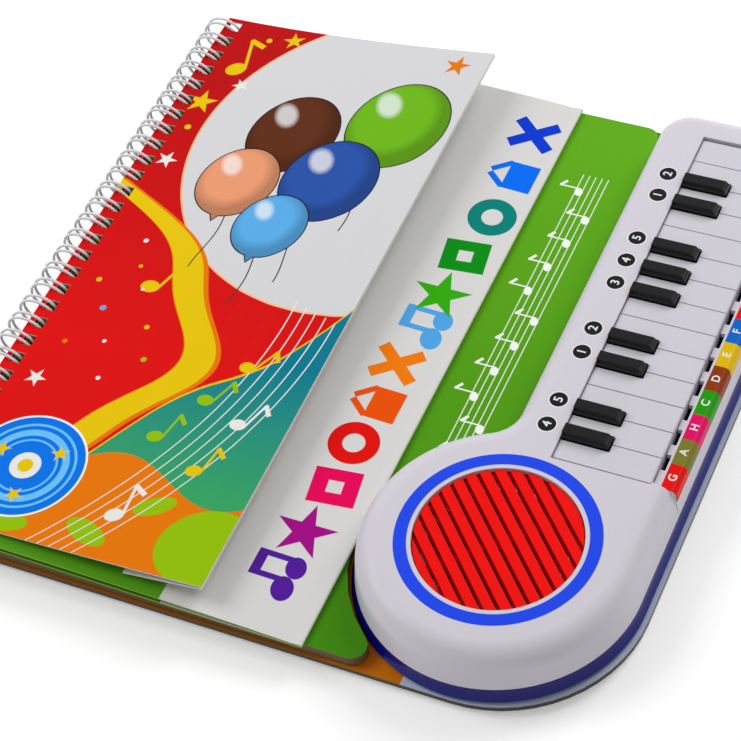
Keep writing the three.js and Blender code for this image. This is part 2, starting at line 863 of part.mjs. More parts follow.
// A white key steps in beside each black key, and is open below.
function makeWhiteKey(key) {
  const low = key * keyPitch;
  const high = low + keyPitch;
  const y0 = low + keyGap / 2;
  const y1 = high - keyGap / 2;
  const rear0 = hasBlack(key) ? low + blackHalf : y0;
  const rear1 = hasBlack(key + 1) ? high - blackHalf : y1;
  const notchX = blackLength + keyGap;
  const plan = [
    [keyGap, rear0],
    [notchX, rear0],
    [notchX, y0],
    [whiteLength, y0],
    [whiteLength, y1],
    [notchX, y1],
    [notchX, rear1],
    [keyGap, rear1],
  ];
  const outline = plan.filter(
    ([x, y], i) => i === 0 || x !== plan[i - 1][0] || y !== plan[i - 1][1],
  );
  const bevel = 0.35;
  const cap = section(
    [
      [0, keyBottomZ],
      [whiteLength, keyBottomZ],
      [whiteLength, whiteTopZ - bevel],
      [whiteLength - bevel, whiteTopZ],
      [0, whiteTopZ],
    ],
    y0 - 1,
    y1 + 1,
  ).intersect(prism(outline, keyBottomZ - 1, whiteTopZ + 1));
  const hollow = box(
    notchX + keyWall,
    whiteLength - keyWall,
    y0 + keyWall,
    y1 - keyWall,
    keyBottomZ - 1,
    whiteTopZ - keyPlate,
  );
  const middle = (rear0 + rear1) / 2;
  const half = plungerSize / 2;
  const relief = box(
    -wall,
    plungerX - half,
    y0 - 1,
    y1 + 1,
    keyBottomZ - 1,
    hingeZ - stemHeight / 2,
  );
  return carve(cap, [hollow, relief]).add(keyStem(middle));
}

// A black key: a straight body, a shoulder and a top that narrows and slopes at its nose.
function makeBlackKey(place) {
  const y = place * keyPitch;
  const half = blackWidth / 2;
  const topHalf = blackTopWidth / 2;
  const x0 = keyGap;
  const x1 = blackLength;
  const shoulderZ = whiteTopZ + blackShoulder;
  const topZ = whiteTopZ + blackHeight;
  const plan = (inset, nose) => [
    [x0, y - half + inset],
    [x1 - nose, y - half + inset],
    [x1 - nose, y + half - inset],
    [x0, y + half - inset],
  ];
  const cap = loft([
    { points: plan(0, 0), z: keyBottomZ + 1 },
    { points: plan(0, 0), z: shoulderZ },
    { points: plan(0.5, 0.5), z: shoulderZ + 0.3 },
    { points: plan(half - topHalf - 0.3, blackNose - 0.3), z: topZ - 0.3 },
    { points: plan(half - topHalf, blackNose), z: topZ },
  ]);
  const relief = box(
    -wall,
    plungerX - plungerSize / 2,
    y - half - 1,
    y + half + 1,
    keyBottomZ,
    hingeZ - stemHeight / 2,
  );
  return carve(cap, [relief]).add(keyStem(y));
}

// Circuit board, contact strip and battery

function makeCircuit() {
  return box(circuitX, circuitX + boardWidth, fit, bedLength - fit, circuitZ, circuitZ + circuitThickness);
}

function makeContactStrip() {
  const half = domeRadius + 0.6;
  const strip = box(plungerX - half, plungerX + half, 1, bedLength - 1, stripZ, stripZ + stripThickness);
  const domes = Array.from({ length: whiteKeys }, (_, i) =>
    turned(
      [
        [0, stripZ + stripThickness / 2],
        [domeRadius, stripZ + stripThickness / 2],
        [domeRadius, stripZ + stripThickness],
        [domeRadius * 0.6, stripZ + stripThickness + domeHeight],
        [0, stripZ + stripThickness + domeHeight],
      ],
      plungerX,
      (i + 0.5) * keyPitch,
      6,
    ),
  );
  return unite([strip, ...domes]);
}

const cellCentreY = (cell) => cellY + cellDiameter / 2 + cell * (cellDiameter + cellGap);
const cellZ = floorTopZ + fit;

function makeCell(cell) {
  return turned(
    [
      [0, cellZ],
      [cellDiameter / 2 - 1, cellZ],
      [cellDiameter / 2 - 0.8, cellZ + 0.4],
      [cellDiameter / 2 - 0.3, cellZ + 0.5],
      [cellDiameter / 2 - 0.3, cellZ + cellHeight - 0.3],
      [cellDiameter / 2 - 0.6, cellZ + cellHeight],
      [0, cellZ + cellHeight],
    ],
    cellX,
    cellCentreY(cell),
    16,
  );
}

// A bent leaf of spring metal, standing at the end of the row of cells.
function makeContact(y, lean) {
  const half = cellDiameter / 4;
  const t = contactThickness;
  const low = floorTopZ + 1;
  const high = low + cellHeight - 2;
  const shape = new THREE.Shape(
    [
      [0, low],
      [t, low],
      [t + lean * 0.5, (low + high) / 2],
      [t, high],
      [0, high],
      [lean * 0.5, (low + high) / 2],
    ].map(([x, z]) => new THREE.Vector2(x, z)),
  );
  const geometry = new THREE.ExtrudeGeometry(shape, { depth: 2 * half, bevelEnabled: false });
  geometry.rotateX(Math.PI / 2);
  geometry.rotateZ(Math.PI / 2);
  geometry.translate(cellX - half, y, 0);
  return solidOf(geometry);
}

function makeDoor() {
  const frame = doorFrame(-fit);
  const z = caseBottomZ + fit;
  const plate = box(frame.x0, frame.x1, frame.y0, frame.y1, z, z + doorThickness);
  return carve(plate, [
    post(cellX, doorScrewY, 0, floorTopZ, screwRadius + fit, 12),
    post(cellX, doorScrewY, 0, z + doorScrewHead - fit, screwHeadRadius * 0.8 + fit, 16),
  ]);
}

function makeScrew(x, y, headZ, headRadius, headHeight, length) {
  const head = turned(
    [
      [0, headZ],
      [headRadius * 0.8, headZ],
      [headRadius, headZ + headHeight * 0.3],
      [headRadius, headZ + headHeight],
      [0, headZ + headHeight],
    ],
    x,
    y,
    10,
  );
  const shank = turned(
    [
      [0, headZ + headHeight / 2],
      [screwRadius, headZ + headHeight / 2],
      [screwRadius, headZ + headHeight + length - 1],
      [0, headZ + headHeight + length],
    ],
    x,
    y,
    6,
  );
  const slot = headRadius * 0.6;
  const recess = box(x - slot, x + slot, y - 0.25, y + 0.25, headZ - 1, headZ + headHeight * 0.5).add(
    box(x - 0.25, x + 0.25, y - slot, y + slot, headZ - 1, headZ + headHeight * 0.5),
  );
  return head.add(shank).subtract(recess);
}

// Scene

const book = new THREE.Group();

function place(name, solid, finish) {
  const [color, roughness, metalness] = palette[finish];
  const mesh = new THREE.Mesh(
    geometryOf(solid),
    new THREE.MeshStandardMaterial({ color, roughness, metalness, flatShading: true }),
  );
  mesh.name = name;
  book.add(mesh);
}

place("back_board", makeBoard(), "board");
place("page_block", makePages(), "pages");
place("title_leaf", makeTitleLeaf(), "card");
place("front_cover", makeCover(), "cover");
place("wire_comb", makeWire(), "wire");
place("lower_case", makeLowerCase(), "case_blue");
place("upper_case", makeUpperCase(), "shell");
place("speaker_grille", makeGrille(), "grille_red");
place("speaker_frame", makeSpeakerFrame(), "steel");
place("speaker_cone", makeCone(), "cone");
place("speaker_magnet", makeMagnet(), "steel");
place("note_label_strip", makeLabels(), "label");
place("circuit_board", makeCircuit(), "circuit");
place("contact_strip", makeContactStrip(), "rubber");
const numbered = (index) => String(index + 1).padStart(2, "0");
for (let key = 0; key < whiteKeys; key++)
  place(`white_key_${numbered(key)}`, makeWhiteKey(key), "white_key");
blackPlaces.forEach((at, i) => place(`black_key_${numbered(i)}`, makeBlackKey(at), "black_key"));
for (let cell = 0; cell < cellCount; cell++) place(`button_cell_${cell + 1}`, makeCell(cell), "steel");
place("battery_contact_1", makeContact(cellY - fit - contactThickness, -1), "steel");
place("battery_contact_2", makeContact(cellY + cellRun + contactGap, 1), "steel");
place("battery_door", makeDoor(), "case_blue");
place(
  "battery_door_screw",
  makeScrew(cellX, doorScrewY, caseBottomZ, screwHeadRadius * 0.8, doorScrewHead, doorScrewLength),
  "steel",
);
screwPlaces.forEach(([x, y], i) =>
  place(
    `case_screw_${i + 1}`,
    makeScrew(x, y, boardLift, screwHeadRadius, screwHeadHeight, screwLength),
    "steel",
  ),
);

// The origin goes to the middle of the footprint, at the lowest point.
const bounds = new THREE.Box3().setFromObject(book, true);
const centre = bounds.getCenter(new THREE.Vector3());
book.position.set(-centre.x, -centre.y, -bounds.min.z);

const group = new THREE.Group();
group.add(book);

export default group;
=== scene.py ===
# %% [markdown]
# A wire-bound sound book: board leaves on a twin-loop wire, and a small keyboard with a round
# speaker end on the back board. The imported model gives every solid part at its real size. This
# script gives the looks: print, plastic and coated wire, and smooth surfaces where the solids
# are faceted.

import json
import math

import bmesh
import bpy
from mathutils import Matrix, Vector


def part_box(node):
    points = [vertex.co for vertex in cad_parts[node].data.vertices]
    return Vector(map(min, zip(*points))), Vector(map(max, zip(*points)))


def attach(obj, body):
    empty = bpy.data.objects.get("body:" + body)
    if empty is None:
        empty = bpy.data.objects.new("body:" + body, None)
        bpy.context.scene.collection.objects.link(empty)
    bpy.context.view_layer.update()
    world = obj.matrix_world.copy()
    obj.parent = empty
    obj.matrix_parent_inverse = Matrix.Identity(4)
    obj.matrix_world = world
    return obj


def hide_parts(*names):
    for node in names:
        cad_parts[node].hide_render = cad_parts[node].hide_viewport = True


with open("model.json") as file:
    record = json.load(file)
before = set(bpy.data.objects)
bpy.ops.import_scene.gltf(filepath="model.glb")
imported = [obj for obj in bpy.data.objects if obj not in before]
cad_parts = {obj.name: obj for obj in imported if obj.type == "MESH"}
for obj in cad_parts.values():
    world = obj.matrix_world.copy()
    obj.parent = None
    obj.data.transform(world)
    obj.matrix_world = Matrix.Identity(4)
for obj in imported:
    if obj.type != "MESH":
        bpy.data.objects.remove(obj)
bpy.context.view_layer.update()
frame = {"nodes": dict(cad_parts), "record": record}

# %% [markdown]
# Sizes are written in millimetres from the rear corner of the key bed beside the speaker, as a
# maker would measure them. The first white key tells where that corner is, and the upper case how
# high its top stands. Heights drawn from the table are shifted by as much as the frame shifts them.

# %% Sizes
MM = 0.001
KEY_GAP = 0.4
KEY_PITCH = 10.8
KEY_LENGTH = 34
WHITE_KEYS = 14
key_low, key_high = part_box("white_key_01")
_, shell_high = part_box("upper_case")
BED_X = key_high[0] / MM - KEY_LENGTH
BED_Y = key_low[1] / MM - KEY_GAP / 2
SHELL_TOP = shell_high[2] / MM
DRAWN_SHELL_TOP = 24.4
FRAME_SHIFT = SHELL_TOP - DRAWN_SHELL_TOP
BED_FRONT = KEY_LENGTH + KEY_GAP
BED_LENGTH = WHITE_KEYS * KEY_PITCH
LEDGE_DROP = 2.6
LEDGE_TOP = SHELL_TOP - LEDGE_DROP
SPEAKER = (-4.2, -36.1)
CASE_RADIUS = 47.3
CASE_LEFT = -18.4
CASE_RIGHT = SPEAKER[0] + CASE_RADIUS
CASE_TOP = 166.1
CASE_CORNER = 13
NECK = 11
WALL = 2
SHELL_EDGE = 8
HOLLOW_EDGE = 6
SILL_EDGE = 1.6
GRILLE_RADIUS = 27.4
GRILLE_GAP = 0.3
GRILLE_DROP = 0.6
# Depth below the louvre tops past which the red is painted darker as shade in the grooves.
GROOVE_SHADE_DEPTH = 0.35
BED_END_GAP = 0.9
SLOT_HALF = 3.3
SLOT_WIDTH = 1.7
TRAY_FLARE = 1.6
UNIT_HEIGHT = 20.3
SEAM_HEIGHT = 5.4
SEAM_GAP = 0.3
BOARD_TOP = SHELL_TOP - UNIT_HEIGHT
SEAM_Z = BOARD_TOP + SEAM_HEIGHT + SEAM_GAP
print("key bed corner", round(BED_X, 2), round(BED_Y, 2), "shell top", round(SHELL_TOP, 2))


def at(x, y, z):
    """A point in metres in the model's frame, from millimetres at the key bed."""
    return Vector(((x + BED_X) * MM, (y + BED_Y) * MM, z * MM))


# %% [markdown]
# The camera stands where the photograph was taken: the equal keys fix the direction and the
# distance. It looks at a point near the middle of the book and is turned a little about its axis.

# %% Camera
CAMERA_AT = at(209.4, -438.61, 646.25)
LOOK_AT = at(-76.09, 23.27, 12.0)
CAMERA_ROLL = math.radians(-10.419)
FOCAL_MM = 118.2

camera_data = bpy.data.cameras.new("camera")
camera_data.lens = FOCAL_MM
camera_data.sensor_width = 36
camera = bpy.data.objects.new("camera", camera_data)
aim = (LOOK_AT - CAMERA_AT).to_track_quat("-Z", "Y").to_matrix()
turned = (aim @ Matrix.Rotation(CAMERA_ROLL, 3, "Z")).to_4x4()
camera.matrix_world = Matrix.Translation(CAMERA_AT) @ turned
bpy.context.scene.collection.objects.link(camera)
bpy.context.scene.camera = camera

# %% [markdown]
# Node trees are hard to read as code, so one small class carries a value between nodes. Sums of
# such values add Math nodes, and `node` adds any other node.


# %% Shader values
class Value:
    """A number or colour on its way between nodes. Python's operators add Math nodes."""

    def __init__(self, paint, socket):
        self.paint = paint
        self.socket = socket

    def math(self, operation, *others, clamp=False):
        settings = {"operation": operation, "use_clamp": clamp}
        inputs = dict(enumerate((self, *others)))
        return self.paint.node("ShaderNodeMath", settings, inputs)

    def __add__(self, other):
        return self.math("ADD", other)

    def __sub__(self, other):
        return self.math("SUBTRACT", other)

    def __rsub__(self, other):
        return self.paint.constant_first("SUBTRACT", other, self)

    def __mul__(self, other):
        return self.math("MULTIPLY", other)

    def __truediv__(self, other):
        return self.math("DIVIDE", other)

    def __neg__(self):
        return self * -1

    __radd__ = __add__
    __rmul__ = __mul__

    def abs(self):
        return self.math("ABSOLUTE")

    def sin(self):
        return self.math("SINE")

    def least(self, other):
        return self.math("MINIMUM", other)

    def most(self, other):
        return self.math("MAXIMUM", other)

    def inside(self, soft=0.08):
        """1 where the value is below 0, 0 where it is above, blended over a soft edge."""
        return self.math("MULTIPLY_ADD", -0.5 / soft, 0.5, clamp=True)


PRINT_SHINE = 0.07


class Paint:
    """One material and the nodes that feed its Principled shader."""

    def __init__(self, name, colour, roughness, **surface):
        self.material = bpy.data.materials.new(name)
        self.material.use_nodes = True
        self.tree = self.material.node_tree
        self.shader = self.tree.nodes["Principled BSDF"]
        self.set("Base Color", colour)
        self.set("Roughness", roughness)
        self.set("Specular IOR Level", PRINT_SHINE)
        for socket, value in surface.items():
            self.set(socket.replace("_", " ").title().replace("Ior", "IOR"), value)

    def set(self, socket, value):
        self.connect(self.shader.inputs[socket], value)

    def connect(self, socket, value):
        if isinstance(value, Value):
            self.tree.links.new(value.socket, socket)
        elif isinstance(value, tuple) and len(value) == 3 and socket.type == "RGBA":
            socket.default_value = (*value, 1)
        else:
            socket.default_value = value

    def node(self, kind, settings=None, inputs=None, output=0):
        node = self.tree.nodes.new(kind)
        for name, value in (settings or {}).items():
            setattr(node, name, value)
        for key, value in (inputs or {}).items():
            self.connect(node.inputs[key], value)
        return Value(self, node.outputs[output])

    def constant_first(self, operation, number, value):
        return self.node("ShaderNodeMath", {"operation": operation}, {0: number, 1: value})

    def mix(self, mask, base, over):
        """Colour over another colour where the mask is 1."""
        return self.node("ShaderNodeMix", {"data_type": "RGBA"}, {0: mask, 6: base, 7: over}, 2)

    def place(self):
        """x, y and z in millimetres at the key bed, which move with the piece."""
        coordinates = self.node("ShaderNodeTexCoord", output=3)
        split = self.node("ShaderNodeSeparateXYZ", inputs={0: coordinates}).socket.node
        x, y, z = (Value(self, socket) for socket in split.outputs)
        return x * (1 / MM) - BED_X, y * (1 / MM) - BED_Y, z * (1 / MM)

    def noise(self, scale, detail=3.0):
        """Even grain in object space. Scale is in features for each metre."""
        coordinates = self.node("ShaderNodeTexCoord", output=3)
        inputs = {"Vector": coordinates, "Scale": scale, "Detail": detail}
        return self.node("ShaderNodeTexNoise", inputs=inputs)

    def facing_up(self):
        """How far a face looks up in the scene: 1 for a level top, -1 for an underside."""
        normal = self.node("ShaderNodeNewGeometry", output=1)
        split = self.node("ShaderNodeSeparateXYZ", inputs={0: normal}).socket.node
        return Value(self, split.outputs[2])

    def bump(self, height, strength, distance=0.0002):
        inputs = {"Height": height, "Strength": strength, "Distance": distance}
        self.set("Normal", self.node("ShaderNodeBump", inputs=inputs))


def srgb(red, green, blue):
    """A colour as read off a screen, 0 to 255, in the linear values that shaders use."""

    def linear(level):
        share = level / 255
        return share / 12.92 if share <= 0.04045 else ((share + 0.055) / 1.055) ** 2.4

    return (linear(red), linear(green), linear(blue))


# %% [markdown]
# Print is made of fields and simple shapes. Each shape is a distance that is negative inside, so
# that shapes combine with least (either), most (both) and a shift (an outline).


# %% Printed shapes
def disc(x, y, centre, radius):
    dx = x - centre[0]
    dy = y - centre[1]
    return (dx * dx + dy * dy).math("SQRT") - radius


def tilted(x, y, centre, degrees):
    """Coordinates about a centre, turned."""
    c, s = math.cos(math.radians(degrees)), math.sin(math.radians(degrees))
    dx = x - centre[0]
    dy = y - centre[1]
    return dx * c + dy * s, dy * c - dx * s


def bar(x, y, centre, width, height, degrees=0, corner=0.0):
    u, v = tilted(x, y, centre, degrees)
    return (u.abs() - (width / 2 - corner)).most(v.abs() - (height / 2 - corner)) - corner


def oval(x, y, centre, width, height, degrees=0):
    u, v = tilted(x, y, centre, degrees)
    u = u * (2 / width)
    v = v * (2 / height)
    return ((u * u + v * v).math("SQRT") - 1) * (min(width, height) / 2)


def polygon(x, y, centre, radius, sides, degrees=0):
    """A regular polygon as the meeting of its half planes."""
    reach = radius * math.cos(math.pi / sides)
    edges = []
    for side in range(sides):
        angle = math.radians(degrees) + 2 * math.pi * side / sides
        edges.append((x - centre[0]) * math.cos(angle) + (y - centre[1]) * math.sin(angle) - reach)
    shape = edges[0]
    for edge in edges[1:]:
        shape = shape.most(edge)
    return shape


def star(x, y, centre, radius, degrees=0):
    """Five triangles about a centre make a star."""
    shape = None
    for point in range(5):
        angle = degrees + 72 * point
        u, v = tilted(x, y, centre, angle)
        tip = (u - radius).most(v.abs() - (radius - u) * 0.32)
        tip = tip.most(-u - 0.1 * radius)
        shape = tip if shape is None else shape.least(tip)
    return shape


def note(x, y, centre, size, degrees=0):
    """A quaver: a leaning head, a stem and a flag."""
    u, v = tilted(x, y, centre, degrees)
    head = oval(u, v, (0, 0), 1.3 * size, size, 20)
    stem = bar(u, v, (0.55 * size, 1.3 * size), 0.2 * size, 2.6 * size)
    flag = bar(u, v, (0.95 * size, 2.2 * size), 1.1 * size, 0.36 * size, -35)
    return head.least(stem).least(flag)


# %% [markdown]
# The plastics are moulded ABS: a satin shell, a glossy dark lower tray and glossy red louvres. A
# fine grain in the bump breaks up the highlights as the mould's surface does.

# %% Shell
SHELL = srgb(218, 213, 222)
RING_BLUE = srgb(30, 74, 242)
INK_BLACK = srgb(14, 14, 18)
RING_OUTER = 33.4
RING_INNER = 29.1
DISC_RADIUS = 3.05
DISC_HALO = 0.35
DISC_PLACES = [1, 2, 4, 5, 7, 8, 9, 11, 12]
DISC_X = -5.95
DISC_SHIFT = [0.9, 0.9, 0.95, 1.07, 1.15, 1.2, 1.3, 1.27, 1.18]


def shell_paint():
    paint = Paint("shell_plastic", SHELL, 0.3, specular_ior_level=0.14)
    x, y, _ = paint.place()
    ring_middle = (RING_OUTER + RING_INNER) / 2
    ring = disc(x, y, SPEAKER, ring_middle).abs() - (RING_OUTER - ring_middle)
    top = paint.facing_up().math("GREATER_THAN", 0.95)
    cloud = paint.noise(60.0)
    base = paint.mix((cloud - 0.35) * 0.25, SHELL, srgb(211, 206, 216))
    colour = paint.mix(ring.inside() * top, base, RING_BLUE)
    for place, shift in zip(DISC_PLACES, DISC_SHIFT):
        centre = (DISC_X, place * KEY_PITCH + shift)
        halo = disc(x, y, centre, DISC_RADIUS + DISC_HALO)
        colour = paint.mix(halo.inside() * top, colour, srgb(246, 246, 250))
        colour = paint.mix(disc(x, y, centre, DISC_RADIUS).inside() * top, colour, INK_BLACK)
    paint.set("Base Color", colour)
    paint.bump(paint.noise(2600.0, 2.0), 0.06)
    return paint.material


def plain_plastic(name, colour, roughness, grain_scale=2400.0, grain=0.05, **surface):
    paint = Paint(name, colour, roughness, **surface)
    cloud = paint.noise(90.0)
    darker = tuple(level * 0.9 for level in colour)
    paint.set("Base Color", paint.mix((cloud - 0.4) * 0.6, colour, darker))
    paint.set("Roughness", paint.noise(700.0) * 0.1 + (roughness - 0.05))
    paint.bump(paint.noise(grain_scale, 2.0), grain)
    return paint.material


def louvre_paint():
    """Red plastic with painted shade: the red turns darker down in the grooves."""
    paint = Paint("louvre_red", srgb(248, 12, 8), 0.32, specular_ior_level=0.1)
    _, _, z = paint.place()
    # Painted shade: faces deeper than the given depth below the louvre tops turn dark red.
    groove_shade = (z - (SHELL_TOP - GRILLE_DROP) + GROOVE_SHADE_DEPTH).inside(0.2)
    cloud = paint.noise(90.0)
    red = paint.mix((cloud - 0.4) * 0.6, srgb(250, 14, 8), srgb(238, 10, 6))
    paint.set("Base Color", paint.mix(groove_shade, red, srgb(196, 0, 4)))
    paint.bump(paint.noise(2400.0, 2.0), 0.05)
    return paint.material


shell_plastic = shell_paint()
tray_blue = plain_plastic("tray_blue", srgb(10, 12, 118), 0.14, specular_ior_level=0.22)
louvre_red = louvre_paint()
white_key_plastic = plain_plastic(
    "white_key_plastic", srgb(214, 211, 220), 0.28, specular_ior_level=0.15
)
black_key_plastic = plain_plastic(
    "black_key_plastic", srgb(8, 8, 12), 0.22, specular_ior_level=0.2
)

# %% [markdown]
# The wire has a pale glossy coat. Metal, paper cone, circuit board and rubber are only seen from
# below or through the louvres, but each still gets its own finish.

# %% Small finishes
wire_coat = plain_plastic("wire_coat", srgb(228, 228, 232), 0.24, specular_ior_level=0.5)
bright_steel = plain_plastic("bright_steel", srgb(188, 190, 194), 0.25, metallic=1.0)
cone_paper = plain_plastic("cone_paper", srgb(26, 26, 28), 0.8, grain_scale=1200.0, grain=0.3)
circuit_green = plain_plastic("circuit_green", srgb(30, 104, 58), 0.4)
contact_rubber = plain_plastic("contact_rubber", srgb(82, 82, 88), 0.75)

# %% [markdown]
# The labels are one printed strip with a colour for each note, lying on the ledge before the keys.

# %% Labels
LABEL_COLOURS = [
    srgb(236, 16, 10),
    srgb(128, 124, 44),
    srgb(230, 12, 104),
    srgb(36, 156, 4),
    srgb(146, 58, 8),
    srgb(230, 190, 0),
    srgb(8, 104, 202),
]
NOTE_NAMES = "GAHCDEF"


def label_paint():
    paint = Paint("note_labels", LABEL_COLOURS[0], 0.3)
    _, y, _ = paint.place()
    colour = LABEL_COLOURS[0]
    for key in range(1, WHITE_KEYS):
        past = (y * -1 + key * KEY_PITCH).inside(0.04)
        colour = paint.mix(past, colour, LABEL_COLOURS[key % len(LABEL_COLOURS)])
    paint.set("Base Color", colour)
    paint.bump(paint.noise(1500.0), 0.03)
    return paint.material


label_print = label_paint()

# %% [markdown]
# The cover's print is laminated card. Broad fields of colour sweep across it, with staff lines,
# notes, balloons and stars of this book's own.

# %% Cover print
COVER_RED = srgb(226, 12, 12)
PAINTED_SHADE_RED = srgb(190, 6, 10)
PALE = srgb(218, 218, 220)
TEAL = srgb(0, 124, 146)
SEA_GREEN = srgb(58, 168, 96)
ORANGE = srgb(236, 122, 0)
LIME = srgb(150, 196, 0)
YELLOW = srgb(236, 200, 4)
SKY = srgb(92, 176, 236)
STICKER_BLUE = srgb(0, 118, 236)
STICKER_RIM = srgb(110, 196, 250)
WHITE = srgb(238, 238, 234)
COVER_SPINE = -201.5
COVER_EDGE = -88
COVER_MIDDLE = (-144, 44)
COVER_LENGTH = 252.4
COVER_SEAT = 13.9 + FRAME_SHIFT
COVER_RISE = 8.2
COVER_BOW = 1.6
COVER_TWIST = 5 / COVER_LENGTH
PALE_CENTRE = (37.6, 68)
PALE_RADIUS = 77.5
LIME_PATCHES = [
    ((50, -112), 34, 30, 20),
    ((26, -101), 15, 7, 30),
    ((8, -117), 17, 8, -20),
    ((-24, -121), 22, 9, 5),
]


def cover_fields(paint, u, v):
    """Broad fields: red with painted shade toward the head, a pale disc, teal running to sea green,
    orange and lime at the foot.
    """
    # Painted shade: the red darkens toward the head of the cover.
    colour = paint.mix((v * 0.008 + 0.3).math("ADD", 0, clamp=True), COVER_RED, PAINTED_SHADE_RED)
    pale = disc(u, v, PALE_CENTRE, PALE_RADIUS)
    colour = paint.mix((pale - 0.8).inside(0.1), colour, srgb(250, 196, 150))
    colour = paint.mix(pale.inside(0.1), colour, PALE)

    fade = (v * -0.016 - 0.55).math("ADD", 0, clamp=True)
    water = paint.mix(fade, TEAL, SEA_GREEN)
    shore = v + 2 - (u - 60) * 1.25 - (u * 0.11 + 0.4).sin() * 5
    colour = paint.mix((shore - 1.2).inside(0.1), colour, YELLOW)
    colour = paint.mix(shore.inside(0.1), colour, water)
    sand = v + 93 - (u * 0.075 + 1.2).sin() * 9 - u * 0.1
    colour = paint.mix(sand.inside(0.1), colour, ORANGE)
    for centre, width, height, turn in LIME_PATCHES:
        colour = paint.mix(oval(u, v, centre, width, height, turn).inside(0.1), colour, LIME)
    return colour


def ribbon(u, v):
    """How far a point lies beside the ribbon's middle line, which swings out from the spine."""
    return u - 8 + (v + 40) * (v + 40) * 0.0122 - (v * 0.115).sin() * 4


DOTS = [
    ((-34, 8), 1.0, WHITE),
    ((-30, -4), 0.8, YELLOW),
    ((-42, -14), 1.1, YELLOW),
    ((-24, -14), 0.7, WHITE),
    ((-34, -26), 1.2, SKY),
    ((-14, -30), 1.0, YELLOW),
    ((-26, -40), 0.8, WHITE),
    ((-8, -44), 1.1, LIME),
    ((-40, -44), 1.0, ORANGE),
    ((-20, -56), 0.9, WHITE),
    ((-46, 66), 1.3, YELLOW),
    ((-36, 118), 1.2, YELLOW),
]
NOTES = [
    ((30, -38), 4.6, -28, YELLOW),
    ((22, -55), 4.6, -22, LIME),
    ((38, -62), 4.6, -20, WHITE),
    ((12, -74), 4.6, -12, LIME),
    ((32, -84), 4.6, -10, YELLOW),
    ((14, -108), 5.2, 4, WHITE),
    ((-42, 100), 6.4, 14, YELLOW),
    ((-22, -12), 5.6, -18, YELLOW),
]
STARS = [
    ((-47, 80), 6.5, 20, YELLOW),
    ((-36, 92), 3.6, 50, WHITE),
    ((-46, 48), 4.4, 5, WHITE),
    ((-26, 120), 4.6, 35, YELLOW),
    ((44, 118), 5.6, 12, ORANGE),
    ((-42, -62), 4.2, 0, WHITE),
]
BALLOONS = [
    ((34, 84), (38, 44), srgb(112, 186, 22), -3),
    ((-4, 72), (34, 40), srgb(96, 44, 14), 8),
    ((20, 52), (36, 41), srgb(40, 84, 170), 0),
    ((-14, 44), (30, 35), srgb(238, 158, 116), 12),
    ((8, 26), (27, 31), SKY, 6),
]


def cover_balloons(paint, colour, u, v):
    """Threads first, then each balloon with its outline, shade and highlight."""
    for (cx, cy), (w, h), tint, lean in BALLOONS:
        thread = (u - cx - lean * 0.2 - (v * 0.15 + cx).sin() * 1.3).abs() - 0.25
        reach = (v - cy).most(-v + (cy - h * 1.25))
        colour = paint.mix(thread.most(reach).inside(0.08), colour, srgb(50, 50, 60))
    for (cx, cy), (w, h), tint, _ in BALLOONS:
        body = oval(u, v, (cx, cy), w, h, -8)
        knot = polygon(u, v, (cx - 1, cy - h / 2 - 0.9), 1.8, 3, 90)
        colour = paint.mix((body.least(knot) - 0.45).inside(), colour, srgb(24, 18, 26))
        shade = oval(u, v, (cx - w * 0.08, cy + h * 0.08), w * 0.84, h * 0.84, -8)
        deep = tuple(level * 0.62 for level in tint)
        colour = paint.mix(body.least(knot).inside(), colour, deep)
        colour = paint.mix(shade.inside(2.2) * body.inside(), colour, tint)
        glow = oval(u, v, (cx - w * 0.2, cy + h * 0.22), w * 0.24, h * 0.3, 30)
        colour = paint.mix(glow.inside(1.0) * 0.6, colour, srgb(255, 255, 255))
    return colour


STICKER_CENTRE = (-26, -98)
STICKER_RADIUS = 21


def cover_sticker(paint, colour, u, v):
    """A round blue sticker with rings and three stars, as a disc might be drawn."""
    centre = STICKER_CENTRE
    face = disc(u, v, centre, STICKER_RADIUS)
    colour = paint.mix((face - 0.8).inside(), colour, srgb(250, 250, 250))
    colour = paint.mix(face.inside(), colour, STICKER_BLUE)
    for radius, width in ((17.6, 0.5), (14.2, 1.3), (11, 0.4)):
        ring = disc(u, v, centre, radius).abs() - width
        colour = paint.mix(ring.inside(), colour, STICKER_RIM)
    colour = paint.mix(disc(u, v, centre, 5.6).inside(), colour, WHITE)
    colour = paint.mix(disc(u, v, centre, 2.8).inside(), colour, YELLOW)
    for turn in (40, 160, 280):
        angle = math.radians(turn)
        spot = (centre[0] + 12.4 * math.cos(angle), centre[1] + 12.4 * math.sin(angle))
        colour = paint.mix(star(u, v, spot, 3.6, turn).inside(), colour, YELLOW)
    return colour


